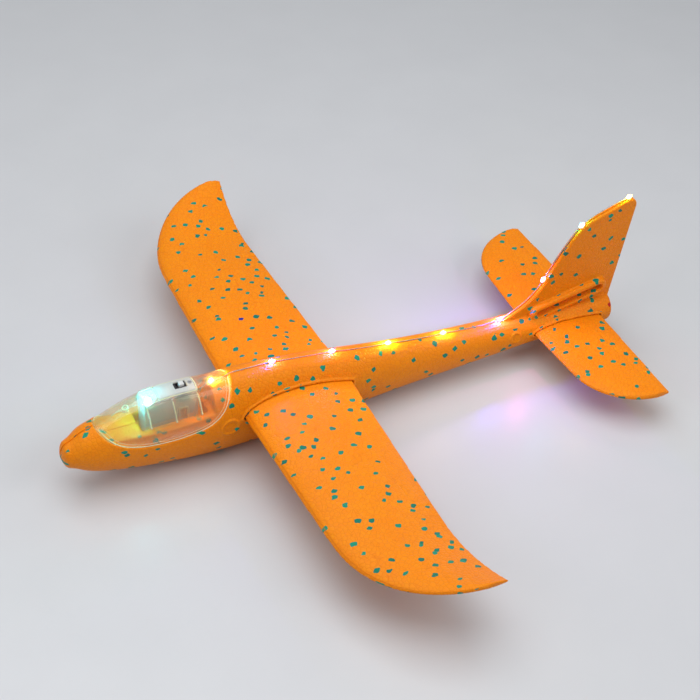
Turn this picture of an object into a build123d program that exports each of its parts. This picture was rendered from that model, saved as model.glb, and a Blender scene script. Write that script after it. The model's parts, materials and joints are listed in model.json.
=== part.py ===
from build123d import *
import os
from math import cos, radians, sin, sqrt, tan

# A foam hand-launch glider with a lit cockpit and a string of lights along its back.
# Millimetres. Nose to +X, port wing to +Y, +Z up. The origin is on the ground under the
# middle of the glider, which stands on the flat of its belly.

os.makedirs("parts", exist_ok=True)

# ---------------------------------------------------------------- driving dimensions
FOAM_FIT = 0.5            # gap round a foam part in its slot
RUNNING = 0.3             # gap between pieces that move past each other
WIDE = 60.0               # reaches past the body on either side
TALL = 20.0               # reaches past a cockpit piece, upward
SHEET = (600.0, 400.0)    # larger than the glider's side view

# the body: x, half width, lowest z and highest z of each elliptical section
STATIONS = [
    (-229.5, 13.2, 12.6, 39.0),
    (-180, 13.4, 12.2, 39.4),
    (-125, 13.8, 10.8, 41.0),
    (-75, 14.7, 8.0, 45.0),
    (-25, 16.0, 5.0, 51.6),
    (25, 17.9, 0.4, 60.4),
    (70, 19.6, -1.5, 67.2),
    (105, 21.0, -1.5, 69.8),
    (135, 22.2, 0.4, 71.6),
    (160, 22.2, 3.6, 72.4),
    (180, 21.3, 7.0, 70.0),
    (196, 19.8, 10.2, 64.6),
    (214, 17.2, 15.2, 56.8),
    (226, 13.8, 20.0, 52.4),
]
NOSE_X = 240.0
NOSE_CAP = (233.0, 10.4, 23.6, 47.6)
NOSE_CAP_SHARES = (0.0, 0.5, 0.8, 0.94, 0.995)
STERN_ROUND = 3.0

# wing: straight to the tip curve, which is a quarter ellipse in plan
WING_Z = 39.0
WING_LEAD_X = 105.8
WING_TRAIL_X = 14.2
WING_TAPER = 0.034        # each edge closes in by this much per mm of span
WING_UPPER = 11.6         # control heights of the section's upper and lower curves
WING_LOWER = 3.6
WING_EDGE = 2.4
WING_THINNING = 0.25      # share of the thickness lost by the start of the tip curve
TIP_START_Y = 150.0
TIP_CENTRE_X = 20.0
TIP_RADII = (80.7, 93.4)
CURL_START_Y = 170.0      # the tips turn up from here
CURL = 0.003
TRAIL_CURVE = 0.0011

# tailplane
TAIL_Z = 27.2
TAIL_LEAD_X = -152.5
TAIL_TRAIL_X = -216.9
TAIL_TAPER = 0.055
TAIL_UPPER = 4.2
TAIL_LOWER = 2.8
TAIL_EDGE = 1.8
TAIL_TIP_START_Y = 63.7
TAIL_TIP_CENTRE_X = -206.0
TAIL_TIP_RADII = (50.0, 50.2)
TIP_ANGLES = (15, 30, 45, 60, 73, 84)    # sections round a tip curve
STRAIGHT_STEPS = 5

# aileron and elevator lines, pressed into the upper surfaces
LINE_RADIUS = 0.8
AILERON = ((31.0, 41.0), (35.0, 152.0))
ELEVATOR = ((-200.0, 32.0), (-206.0, 92.0))

# fin
FIN_HALF_THICKNESS = 2.7
FIN_EDGE_ROUND = 2.0
FIN_LEAD = [(-122.0, 40.6), (-139.5, 47.0), (-157.5, 61.5), (-169.0, 83.0), (-183.5, 107.3),
            (-191.5, 117.0), (-203.0, 122.6), (-217.0, 127.4), (-230.5, 132.4)]
FIN_TIP = ((-237.8, 130.6), (-240.0, 123.5))
FIN_SUNK_Z = 30.0
FIN_TRAIL_X = -230.0

# the empty slot for a tilted tailplane, through the fin's root
LOOP_TILT = 10.5
LOOP_CENTRE = (-187.5, 47.2)
LOOP_LENGTH = 62.0
LOOP_HEIGHT = 6.4
BOSS_LENGTH = 72.0
BOSS_HEIGHT = 15.0
BOSS_HALF_WIDTH = 7.4
BOSS_ROUND = 2.6

LIP_WIDTH = 1.3           # raised lips round the wing and tail slots
LIP_HEIGHT = 1.0
SEAM_HALF_WIDTH = 0.8     # the channel along the back, and its line down the nose
SEAM_DEPTH = 1.3
SEAM_SPAN = (-134.0, 112.0)
SEAM_FLOOR_Z = 30.0
NOSE_LINE_HALF_WIDTH = 0.45
NOSE_LINE_FLOOR_Z = 36.0
RING_MARKS = ((117.0, 35.5, 7.2), (-135.0, 29.5, 5.0))
RING_WALL = 1.3
RING_HEIGHT = 0.9
HALVES_GAP = 0.1          # joint line between the two foam halves
PEG_RADIUS = 2.5
PEG_LENGTH = 5.0
PEG_ROOT = 1.0
PEG_FIT = (0.1, 0.5)         # how much wider and deeper a peg's hole is
PEG_SITES = ((205.0, 34.0), (60.0, 16.0), (-40.0, 28.0), (-136.0, 20.0))

# cockpit
SKIN_INSET = 0.8          # the canopy lies this far inside the foam's surface
CANOPY_WALL = 1.2
PLUG_INSET = 4.4          # the foam under the canopy
PLUG_DECK_Z = 47.0
PLUG_DROP = 8.0             # how far the foam reaches down behind the canopy's rim
PLUG_REAR_X = 125.9
RIM = [(217.0, 59.5), (203.0, 46.6), (188.0, 41.0), (166.0, 38.8), (146.0, 39.6),
       (130.0, 43.0), (118.0, 53.0), (109.6, 72.5)]
ROOF_Z = 90.0
PIT_ENDS = (130.0, 182.0)
PIT_HALF_WIDTH = 10.0
PIT_FLOOR_Z = 37.0
CLIP_X = 190.0            # round boss and rib inside the canopy's front
CLIP_DEPTH = 3.4
CLIP_RADII = (2.6, 1.5)
CLIP_RIB = (6.6, 8.2, 0.9)  # ahead of the boss, length and width

# light box
BOX_ENDS = (136.5, 178.0)
BOX_HALF_WIDTH = 8.2
BOX_WALL = 1.0
BOX_CORNER = 2.2
BOX_INSET = 0.5
CUT_FLOOR_Z = 60.0         # roof openings are cut from here up
DECK_MARGIN = 0.5
DECK_THICKNESS = 1.2
DOOR_ENDS = (138.0, 166.2)
DOOR_HALF_WIDTH = 6.9
DOOR_INSET = 0.2
DOOR_THICKNESS = 1.3
LEDGE = 1.0
LEDGE_REACH = (1.2, 1.0)   # how far the ledge shows inside the door's ends and sides
LAMP_ENDS = (168.0, 176.4)
LAMP_HALF_WIDTH = 6.4
LAMP_CORNER = 2.0
LENS_FIT = 0.1
LAMP_CENTRE_X = 172.2
LEG_XS = (137.4, 157.0, 176.2)
LEG_THICKNESS = 1.1
LEG_FOOT_Z = 52.5
LEG_INSETS = (2.4, 3.8)
LEG_REACH = 16.4
LEG_ROOT = 0.2             # sunk into the box's wall
LATCH_X = 148.5
LATCH_SIZE = (5.4, 12.0)
LATCH_Z = 50.5
LATCH_FRAME = 0.9
LATCH_RAISE = 0.6
SCREW_X = 140.4
SCREW_HEAD = (1.5, 0.8)
SCREW_SHANK = (0.8, 7.0)
SCREW_SLOT = (2.0, 0.45, 0.5)   # length, width and depth of the cross in its head
SCREW_GAP = 0.2
SCREW_POST_RADIUS = 2.2
SCREW_POST_DEPTH = 6.0
SCREW_HOLE = (0.25, 4.0)   # gap round the shank, and depth below the board's top

# electrics
CELL_X = 159.2
CELL_RADIUS = 5.8
CELL_HEIGHT = 5.4
CELL_COUNT = 3
CELL_STEP = 0.9            # the raised face at a cell's negative end, inward and upward
CELL_AIR = 0.1             # left between one cell and the next
SPRING_SPACE = 4.0
SPRING_HALF_WIDTH = 2.2
SPRING_BEND = 0.6
CONTACT_THICKNESS = 0.4
CONTACT_PLATE = (9.6, 7.6)
CONTACT_TAB = 4.0
BOARD_ENDS = (143.2, 152.8)
BOARD_TOP_Z = 62.6
BOARD_THICKNESS = 1.0
CHIP_DROP = (3.0, 1.6, 1.2)  # radius, height and rounding of the resin over the chip
RESISTOR = (3.2, 1.6, 0.7)
RESISTOR_Y = 5.0
SWITCH_X = 147.9
SWITCH_SIZE = (8.8, 6.0)
SWITCH_TOP_Z = 71.3
SWITCH_WINDOW_GAP = 0.5
KNOB_SIZE = (3.6, 3.8)
KNOB_TOP_Z = 73.2
KNOB_FLOOR_Z = 69.5
KNOB_TRAVEL = 1.9
KNOB_GRIP = (3, 1.0, 0.4, 0.5)   # grooves, their spacing, width and depth
LED_RADIUS = 2.4
LED_FLOOR_Z = 62.4
LED_COLLAR = (0.5, 0.8)    # the collar's width and height
LED_BARREL = 2.4           # height of the straight side, collar included
CARRIER = (8.0, 1.0)       # length and thickness of the little board under the lamp

# string of lights
WIRE_RADIUS = 0.4
BEAD_RADIUS = 1.7
BEAD_END_RADIUS = 0.7
BEAD_HALF_LENGTH = 2.6
SOCKET_GAP = 0.15
WIRE_HOLE = (1.0, 55.0)    # radius and height of the wire's way out of the box
# each bead's place and slope, and the wire's points on the way to it, in side view
BEADS = [(123.5, 66.2, 2), (74.8, 68.2, 7), (24.8, 60.9, 10), (-24.0, 52.3, 8), (-73.6, 45.7, 6),
         (-126.5, 42.2, -8), (-162.3, 71.8, -62), (-190.6, 117.8, -42), (-232.2, 133.7, -18)]
RUNS = [
    [(137.3, 55.0), (134.0, 56.6), (132.4, 62.0)],
    [(116.0, 65.8), (110.2, 69.3), (100.0, 69.0), (90.0, 68.5)],
    [(68.0, 66.5), (50.0, 64.1), (36.0, 61.9)],
    [(18.0, 58.7), (0.0, 55.4), (-12.0, 53.3)],
    [(-32.0, 50.1), (-50.0, 47.6), (-64.0, 45.8)],
    [(-82.0, 43.9), (-100.0, 42.2), (-117.0, 41.0)],
    [(-134.0, 44.9), (-145.0, 51.2), (-156.4, 61.2)],
    [(-168.2, 83.6), (-175.6, 96.4), (-183.0, 107.9)],
    [(-200.0, 123.9), (-212.0, 128.3), (-222.0, 131.4)],
]
STEP_ENDS = (107.0, 121.5)  # where the wire climbs out from under the canopy
STEP_FLOOR_Z = 65.0
NOTCH_FRONT_X = 115.5
NOTCH_HALF_WIDTH = 1.6


# ---------------------------------------------------------------- shapes used more than once
def hull(inset=0.0):
    """The body's outer form with its skin moved in, from stern to nose."""
    sections = list(STATIONS)
    cap_x, cap_half, cap_low, cap_high = NOSE_CAP
    middle = (cap_low + cap_high) / 2
    shares = NOSE_CAP_SHARES if inset <= 0 else NOSE_CAP_SHARES[:2]
    for share in shares:
        size = sqrt(1 - share ** 2)
        x = cap_x + share * (NOSE_X - cap_x)
        half_height = size * (cap_high - cap_low) / 2
        sections.append((x, size * cap_half, middle - half_height, middle + half_height))
    with BuildPart() as body:
        for x, half_width, low, high in sections:
            with BuildSketch(Plane.YZ.offset(x)):
                with Locations((0, (low + high) / 2)):
                    Ellipse(half_width - inset, (high - low) / 2 - inset)
        loft()
    return body.part


def airfoil(plane, lead, trail, level, upper, lower, edge):
    """A foam wing's section: two curves that meet upright at the nose, and a blunt rear edge."""
    chord = lead - trail
    belly = lead - 0.45 * chord
    with BuildSketch(plane) as profile:
        with BuildLine():
            Bezier((lead, level), (lead, level + 0.95 * upper),
                   (belly, level + 1.6 * upper), (trail, level + edge / 2))
            Line((trail, level + edge / 2), (trail, level - edge / 2))
            Bezier((trail, level - edge / 2), (belly, level - 1.6 * lower),
                   (lead, level - 0.95 * lower), (lead, level))
        make_face()
    return profile.sketch


def wing_section(y, grow=0.0):
    """The wing's section at a span station."""
    out = max(y - TIP_START_Y, 0) / TIP_RADII[1]
    lead = WING_LEAD_X - WING_TAPER * y
    if out > 0:
        lead = TIP_CENTRE_X + TIP_RADII[0] * sqrt(1 - out ** 2)
    curled = max(y - CURL_START_Y, 0)
    trail = WING_TRAIL_X + WING_TAPER * min(y, CURL_START_Y) - TRAIL_CURVE * curled ** 2
    thin = (1 - WING_THINNING * min(y / TIP_START_Y, 1)) * (1 - 0.62 * out ** 2)
    level = WING_Z + CURL * curled ** 2
    edge = WING_EDGE * (1 - 0.3 * out)
    return airfoil(Plane.XZ.offset(-y), lead + grow, trail - grow, level,
                   WING_UPPER * thin + 1.1 * grow, WING_LOWER * thin + 1.1 * grow, edge + 2 * grow)


def tail_section(y, grow=0.0):
    """The tailplane's section at a span station."""
    out = max(y - TAIL_TIP_START_Y, 0) / TAIL_TIP_RADII[1]
    lead = TAIL_LEAD_X - TAIL_TAPER * y
    if out > 0:
        lead = TAIL_TIP_CENTRE_X + TAIL_TIP_RADII[0] * sqrt(1 - out ** 2)
    thin = 1 - 0.35 * out ** 2
    return airfoil(Plane.XZ.offset(-y), lead + grow, TAIL_TRAIL_X + 0.02 * y - grow, TAIL_Z,
                   TAIL_UPPER * thin + 1.1 * grow, TAIL_LOWER * thin + 1.1 * grow, TAIL_EDGE + 2 * grow)


def lofted_wing(section, tip_start, tip_radius):
    """Both halves of a wing or tailplane, lofted out from the centre line."""
    spans = [tip_start * step / STRAIGHT_STEPS for step in range(STRAIGHT_STEPS + 1)]
    spans += [tip_start + tip_radius * sin(radians(angle)) for angle in TIP_ANGLES]
    with BuildPart() as surface:
        loft([section(y) for y in spans])
        mirror(about=Plane.XZ)
    return surface.part


def slot_bar(section, grow):
    """A bar across the body with a wing's root section, grown all round."""
    with BuildPart() as bar:
        extrude(section(0, grow), amount=WIDE, both=True)
    return bar.part


def top_z(part, x, y=0.0):
    """The height of a part's upper surface."""
    hits = part.find_intersection_points(Axis((x, y, 300), (0, 0, -1)))
    return max(point.Z for point, normal in hits)


def side_prism(points, half_width):
    """A side-view outline, extruded across the body."""
    with BuildPart() as prism:
        with BuildSketch(Plane.XZ):
            with BuildLine():
                Polyline(*points, close=True)
            make_face()
        extrude(amount=half_width, both=True)
    return prism.part


def block_outline(ends, low):
    """The side view of a block between two stations, from a height up past the roof."""
    return [(ends[0], low), (ends[0], ROOF_Z), (ends[1], ROOF_Z), (ends[1], low)]


def above_rim(drop):
    """The cockpit space: all that lies above the canopy's rim line."""
    rim = [(x, z - drop) for x, z in RIM]
    with BuildPart() as space:
        with BuildSketch(Plane.XZ):
            with BuildLine():
                Spline(*rim)
                Polyline(rim[-1], (rim[-1][0], ROOF_Z), (rim[0][0], ROOF_Z), rim[0])
            make_face()
        extrude(amount=WIDE, both=True)
    return space.part


def bead_end(index, side):
    """The point where the wire meets a bead, on its nose side (+1) or its tail side (-1)."""
    x, z, slope = BEADS[index]
    reach = side * BEAD_HALF_LENGTH
    return (x + reach * cos(radians(slope)), z + reach * sin(radians(slope)))


def bead_shape(index, grow=0.0):
    """A drop of clear resin round a light, long in the direction of the wire."""
    x, z, slope = BEADS[index]
    half = BEAD_HALF_LENGTH + grow
    along = Plane(origin=(x, 0, z), x_dir=(cos(radians(slope)), 0, sin(radians(slope))), z_dir=(0, -1, 0))
    with BuildPart() as bead:
        with BuildSketch(along):
            with BuildLine():
                Polyline((half, 0), (-half, 0), (-half, BEAD_END_RADIUS + grow))
                ThreePointArc((-half, BEAD_END_RADIUS + grow), (0, BEAD_RADIUS + grow),
                              (half, BEAD_END_RADIUS + grow))
                Line((half, BEAD_END_RADIUS + grow), (half, 0))
            make_face()
        revolve(axis=Axis(along.origin, along.x_dir))
    return bead.part


def bend_radii(points):
    """The largest arc that each corner's two runs allow."""
    radii = []
    for before, corner, after in zip(points, points[1:], points[2:]):
        arriving = Vector(*corner) - Vector(*before)
        leaving = Vector(*after) - Vector(*corner)
        turn = radians(arriving.get_angle(leaving))
        radii.append(0.45 * min(arriving.length, leaving.length) / tan(turn / 2))
    return radii


def wire_run(index):
    """One length of wire, from the box or the bead before to this bead."""
    points = list(RUNS[index]) + [bead_end(index, 1)]
    if index:
        points.insert(0, bead_end(index - 1, -1))
    route = [(x, 0, z) for x, z in points]
    radii = bend_radii(route)
    print("wire run", index + 1, "bend radii", [round(radius) for radius in radii])
    with BuildPart() as wire:
        with BuildLine() as path:
            FilletPolyline(*route, radius=radii)
        with BuildSketch(Plane(origin=path.line @ 0, z_dir=path.line % 0)):
            Circle(WIRE_RADIUS)
        sweep()
    return wire.part


OUTER = hull()
CANOPY_OUTER = hull(SKIN_INSET)
CANOPY_INNER = hull(SKIN_INSET + CANOPY_WALL)
DECK_TOP = hull(BOX_INSET)
DECK_UNDER = hull(BOX_INSET + DECK_THICKNESS)
DOOR_TOP = hull(DOOR_INSET)
DOOR_UNDER = hull(DOOR_INSET + DOOR_THICKNESS)
LEDGE_TOP = hull(DOOR_INSET + DOOR_THICKNESS + RUNNING)
LEDGE_UNDER = hull(DOOR_INSET + DOOR_THICKNESS + RUNNING + LEDGE)


# ---------------------------------------------------------------- fuselage
def fin():
    """The fin's flat plate with rounded edges, sunk into the tail boom."""
    with BuildPart() as plate:
        with BuildSketch(Plane.XZ):
            with BuildLine():
                Spline(*FIN_LEAD)
                ThreePointArc(FIN_LEAD[-1], *FIN_TIP)
                Polyline(FIN_TIP[1], (FIN_TRAIL_X, FIN_SUNK_Z), (FIN_LEAD[0][0], FIN_SUNK_Z), FIN_LEAD[0])
            make_face()
        extrude(amount=FIN_HALF_THICKNESS, both=True)
        sides = plate.faces().filter_by(Axis.Y)
        rim = [edge for edge in sides.edges() if edge.center().Z > 46]
        fillet(rim, radius=FIN_EDGE_ROUND)
    return plate.part


def loop_block(length, height, half_width, round_off):
    """A tilted block through the fin's root, for the loop slot and for the boss round it."""
    middle = Plane(origin=(LOOP_CENTRE[0], 0, LOOP_CENTRE[1]), x_dir=(1, 0, 0), z_dir=(0, -1, 0))
    with BuildPart() as block:
        with BuildSketch(middle):
            with Locations(Rotation(0, 0, -LOOP_TILT)):
                RectangleRounded(length, height, round_off)
        extrude(amount=half_width, both=True)
    return block.part


def boss():
    """The raised foam round the loop slot, softened at its outer edges."""
    with BuildPart() as block:
        add(loop_block(BOSS_LENGTH, BOSS_HEIGHT, BOSS_HALF_WIDTH, BOSS_HEIGHT / 2 - 0.5))
        fillet(block.faces().filter_by(Axis.Y).edges(), radius=BOSS_ROUND)
    return block.part


def lip(section):
    """The raised lip round a slot, above and in front of it, on the body's surface."""
    with BuildPart() as ridge:
        add(hull(-LIP_HEIGHT))
        add(slot_bar(section, FOAM_FIT + LIP_WIDTH), mode=Mode.INTERSECT)
    return ridge.part


def ring_marks():
    """Raised rings left by the mould's ejector pins, one pair forward and one pair aft."""
    with BuildPart() as rings:
        for x, z, radius in RING_MARKS:
            with BuildSketch(Plane.XZ):
                with Locations((x, z)):
                    Circle(radius)
                    Circle(radius - RING_WALL, mode=Mode.SUBTRACT)
            extrude(amount=WIDE, both=True)
        add(hull(-RING_HEIGHT), mode=Mode.INTERSECT)
    return rings.part


def whole_fuselage():
    """Both fuselage halves as one, before the split down the centre line."""
    with BuildPart() as foam:
        add(OUTER)
        fillet(foam.faces().sort_by(Axis.X)[0].edges(), radius=STERN_ROUND)
        add(above_rim(0), mode=Mode.SUBTRACT)
        add(cockpit_plug())
        add(side_prism(block_outline(PIT_ENDS, PIT_FLOOR_Z), PIT_HALF_WIDTH), mode=Mode.SUBTRACT)
        add(fin())
        add(boss())
        add(lip(wing_section))
        add(lip(tail_section))
        add(ring_marks())
        add(loop_block(LOOP_LENGTH, LOOP_HEIGHT, WIDE, LOOP_HEIGHT / 2 - 0.2), mode=Mode.SUBTRACT)
        add(slot_bar(wing_section, FOAM_FIT), mode=Mode.SUBTRACT)
        add(slot_bar(tail_section, FOAM_FIT), mode=Mode.SUBTRACT)
        add(seam_channel(), mode=Mode.SUBTRACT)
        add(side_prism(block_outline(STEP_ENDS, STEP_FLOOR_Z), SEAM_HALF_WIDTH), mode=Mode.SUBTRACT)
        for index in range(len(BEADS)):
            add(bead_shape(index, SOCKET_GAP), mode=Mode.SUBTRACT)
        with BuildSketch(Plane.XY):
            Rectangle(SHEET[0], 2 * WIDE)
        extrude(amount=-TALL, mode=Mode.SUBTRACT)
    return foam.part


def cockpit_plug():
    """The foam that fills the canopy: a low deck in front, and a hump behind."""
    with BuildPart() as plug:
        add(hull(PLUG_INSET))
        add(above_rim(PLUG_DROP), mode=Mode.INTERSECT)
        add(side_prism(block_outline((PLUG_REAR_X, NOSE_X), PLUG_DECK_Z), WIDE), mode=Mode.SUBTRACT)
    return plug.part


def seam_channel():
    """The open channel along the back for the wire, and the thin mould line down the nose."""
    with BuildPart() as channel:
        add(side_prism(block_outline(SEAM_SPAN, SEAM_FLOOR_Z), SEAM_HALF_WIDTH))
        add(side_prism(block_outline((RIM[0][0] - 2, NOSE_X + 2), NOSE_LINE_FLOOR_Z), NOSE_LINE_HALF_WIDTH))
        add(hull(SEAM_DEPTH), mode=Mode.SUBTRACT)
    return channel.part


# ---------------------------------------------------------------- the two foam halves
def pegs(radius, length):
    """Locating pegs across the centre line, rooted in the port half."""
    with BuildPart() as studs:
        for x, z in PEG_SITES:
            with BuildSketch(Plane.XZ.offset(-PEG_ROOT)):
                with Locations((x, z)):
                    Circle(radius)
            extrude(amount=length + PEG_ROOT)
    return studs.part


FUSELAGE = whole_fuselage()

with BuildPart() as fuselage_left:
    with BuildSketch(Plane.XZ.offset(-HALVES_GAP / 2)):
        Rectangle(*SHEET)
    extrude(amount=-WIDE)
    add(FUSELAGE, mode=Mode.INTERSECT)
    add(pegs(PEG_RADIUS, PEG_LENGTH))

with BuildPart() as fuselage_right:
    with BuildSketch(Plane.XZ.offset(HALVES_GAP / 2)):
        Rectangle(*SHEET)
    extrude(amount=WIDE)
    add(FUSELAGE, mode=Mode.INTERSECT)
    add(pegs(PEG_RADIUS + PEG_FIT[0], PEG_LENGTH + PEG_FIT[1]), mode=Mode.SUBTRACT)


# ---------------------------------------------------------------- flying surfaces
def pressed_line(surface, ends, trail_x):
    """A shallow groove along a control line, with a short groove from each end to the rear edge."""
    (x1, y1), (x2, y2) = ends
    runs = [((x1, y1), (x2, y2)), ((x1, y1), (trail_x(y1), y1)), ((x2, y2), (trail_x(y2), y2))]
    with BuildPart() as grooves:
        for start, stop in runs:
            with BuildLine() as path:
                Line((start[0], start[1], top_z(surface, start[0], start[1]) + 0.15),
                     (stop[0], stop[1], top_z(surface, stop[0], stop[1]) + 0.15))
            with BuildSketch(Plane(origin=path.line @ 0, z_dir=path.line % 0)):
                Circle(LINE_RADIUS)
            sweep()
    return grooves.part


WING = lofted_wing(wing_section, TIP_START_Y, TIP_RADII[1])
AILERON_LINES = pressed_line(WING, AILERON, lambda y: WING_TRAIL_X + WING_TAPER * y + 0.6)

with BuildPart() as main_wing:
    add(WING)
    add(AILERON_LINES, mode=Mode.SUBTRACT)
    add(mirror(AILERON_LINES, about=Plane.XZ, mode=Mode.PRIVATE), mode=Mode.SUBTRACT)

TAIL = lofted_wing(tail_section, TAIL_TIP_START_Y, TAIL_TIP_RADII[1])
ELEVATOR_LINES = pressed_line(TAIL, ELEVATOR, lambda y: TAIL_TRAIL_X + 0.02 * y + 0.6)

with BuildPart() as tailplane:
    add(TAIL)
    add(ELEVATOR_LINES, mode=Mode.SUBTRACT)
    add(mirror(ELEVATOR_LINES, about=Plane.XZ, mode=Mode.PRIVATE), mode=Mode.SUBTRACT)


# ---------------------------------------------------------------- canopy
def upright(ends, half_width, low, high, corner=0.0):
    """A straight-sided block between two stations, which bounds or cuts what stands in the cockpit."""
    with BuildPart() as block:
        with BuildSketch(Plane.XY.offset(low)):
            with Locations(((ends[0] + ends[1]) / 2, 0)):
                if corner:
                    RectangleRounded(ends[1] - ends[0], 2 * half_width, corner)
                else:
                    Rectangle(ends[1] - ends[0], 2 * half_width)
        extrude(amount=high - low)
    return block.part


def grown(ends, gap):
    """A pair of stations moved apart by a gap at each end."""
    return (ends[0] - gap, ends[1] + gap)


def canopy_clip():
    """The round boss and short rib moulded inside the canopy's front."""
    low = top_z(CANOPY_INNER, CLIP_X) - CLIP_DEPTH
    with BuildPart() as clip:
        with BuildSketch(Plane.XY.offset(low)):
            with Locations((CLIP_X, 0)):
                Circle(CLIP_RADII[0])
                Circle(CLIP_RADII[1], mode=Mode.SUBTRACT)
            with Locations((CLIP_X + CLIP_RIB[0], 0)):
                Rectangle(CLIP_RIB[1], CLIP_RIB[2])
        extrude(amount=2 * CLIP_DEPTH)
        add(CANOPY_OUTER, mode=Mode.INTERSECT)
    return clip.part


with BuildPart() as canopy:
    add(CANOPY_OUTER)
    add(CANOPY_INNER, mode=Mode.SUBTRACT)
    add(above_rim(-RUNNING), mode=Mode.INTERSECT)
    add(upright(grown(BOX_ENDS, RUNNING), BOX_HALF_WIDTH + RUNNING, CUT_FLOOR_Z, ROOF_Z,
                BOX_CORNER + RUNNING), mode=Mode.SUBTRACT)
    add(upright((STEP_ENDS[0], NOTCH_FRONT_X), NOTCH_HALF_WIDTH, CUT_FLOOR_Z, ROOF_Z), mode=Mode.SUBTRACT)
    add(canopy_clip())


# ---------------------------------------------------------------- light box
def legs():
    """Three ribs a side, curving down from the box under the canopy."""
    upper = hull(LEG_INSETS[0])
    lower = hull(LEG_INSETS[1])
    with BuildPart() as ribs:
        for x in LEG_XS:
            for side in (-1, 1):
                with BuildSketch(Plane.XY.offset(LEG_FOOT_Z)):
                    with Locations((x, side * (BOX_HALF_WIDTH - LEG_ROOT + LEG_REACH / 2))):
                        Rectangle(LEG_THICKNESS, LEG_REACH)
                extrude(amount=ROOF_Z - LEG_FOOT_Z)
        add(upper, mode=Mode.INTERSECT)
        add(lower, mode=Mode.SUBTRACT)
    return ribs.part


def shell_between(top, under, ends, half_width, corner=0.0):
    """A curved plate that follows the roof, between two inset forms of the body."""
    with BuildPart() as plate:
        add(upright(ends, half_width, CUT_FLOOR_Z, ROOF_Z, corner))
        add(top, mode=Mode.INTERSECT)
        add(under, mode=Mode.SUBTRACT)
    return plate.part


def screw_post():
    """The post under the door's rear end, with the screw's hole down it."""
    with BuildPart() as post:
        with BuildSketch(Plane.XY.offset(BOARD_TOP_Z - SCREW_POST_DEPTH)):
            with Locations((SCREW_X, 0)):
                Circle(SCREW_POST_RADIUS)
            with Locations(((BOX_ENDS[0] + SCREW_X) / 2, 0)):
                Rectangle(SCREW_X - BOX_ENDS[0], 2 * SCREW_POST_RADIUS)
        extrude(amount=TALL)
        add(LEDGE_TOP, mode=Mode.INTERSECT)
        with BuildSketch(Plane.XY.offset(BOARD_TOP_Z - SCREW_HOLE[1])):
            with Locations((SCREW_X, 0)):
                Circle(SCREW_SHANK[0] + SCREW_HOLE[0])
        extrude(amount=TALL, mode=Mode.SUBTRACT)
    return post.part


with BuildPart() as light_box:
    add(upright(BOX_ENDS, BOX_HALF_WIDTH, PIT_FLOOR_Z, ROOF_Z, BOX_CORNER))
    add(DECK_TOP, mode=Mode.INTERSECT)
    add(upright(grown(BOX_ENDS, -BOX_WALL), BOX_HALF_WIDTH - BOX_WALL, PIT_FLOOR_Z + BOX_WALL, ROOF_Z,
                BOX_CORNER - BOX_WALL), mode=Mode.SUBTRACT)
    add(shell_between(DECK_TOP, DECK_UNDER, grown(BOX_ENDS, -DECK_MARGIN), BOX_HALF_WIDTH - DECK_MARGIN,
                      BOX_CORNER - BOX_WALL))
    add(upright(grown(DOOR_ENDS, RUNNING), DOOR_HALF_WIDTH + RUNNING, CUT_FLOOR_Z, ROOF_Z),
        mode=Mode.SUBTRACT)
    add(upright(LAMP_ENDS, LAMP_HALF_WIDTH, CUT_FLOOR_Z, ROOF_Z, LAMP_CORNER), mode=Mode.SUBTRACT)
    add(shell_between(LEDGE_TOP, LEDGE_UNDER, grown(DOOR_ENDS, LEDGE), BOX_HALF_WIDTH - DECK_MARGIN))
    add(upright(grown(DOOR_ENDS, -LEDGE_REACH[0]), DOOR_HALF_WIDTH - LEDGE_REACH[1], CUT_FLOOR_Z, ROOF_Z),
        mode=Mode.SUBTRACT)
    add(screw_post())
    add(legs())
    for side in (-1, 1):
        frame_plane = Plane(origin=(LATCH_X, side * BOX_HALF_WIDTH, LATCH_Z), x_dir=(1, 0, 0),
                            z_dir=(0, side, 0))
        with BuildSketch(frame_plane):
            Rectangle(LATCH_SIZE[0] + 2 * LATCH_FRAME, LATCH_SIZE[1] + 2 * LATCH_FRAME)
        extrude(amount=LATCH_RAISE)
        with BuildSketch(frame_plane.offset(BOX_WALL)):
            Rectangle(*LATCH_SIZE)
        extrude(amount=-2.5 * BOX_WALL, mode=Mode.SUBTRACT)
    with BuildSketch(Plane.YZ.offset(BOX_ENDS[0] - BOX_WALL)):
        with Locations((0, WIRE_HOLE[1])):
            Circle(WIRE_HOLE[0])
    extrude(amount=3 * BOX_WALL, mode=Mode.SUBTRACT)

with BuildPart() as battery_door:
    add(shell_between(DOOR_TOP, DOOR_UNDER, DOOR_ENDS, DOOR_HALF_WIDTH, 0.8))
    with BuildSketch(Plane.XY.offset(CUT_FLOOR_Z)):
        with Locations((SWITCH_X, 0)):
            Rectangle(SWITCH_SIZE[0] + 2 * SWITCH_WINDOW_GAP, SWITCH_SIZE[1] + 2 * SWITCH_WINDOW_GAP)
        with Locations((SCREW_X, 0)):
            Circle(SCREW_SHANK[0] + SCREW_GAP)
    extrude(amount=TALL, mode=Mode.SUBTRACT)
    screw_seat = top_z(DOOR_TOP, SCREW_X) - SCREW_HEAD[1]
    with BuildSketch(Plane.XY.offset(screw_seat)):
        with Locations((SCREW_X, 0)):
            Circle(SCREW_HEAD[0] + SCREW_GAP)
    extrude(amount=TALL, mode=Mode.SUBTRACT)

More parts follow.
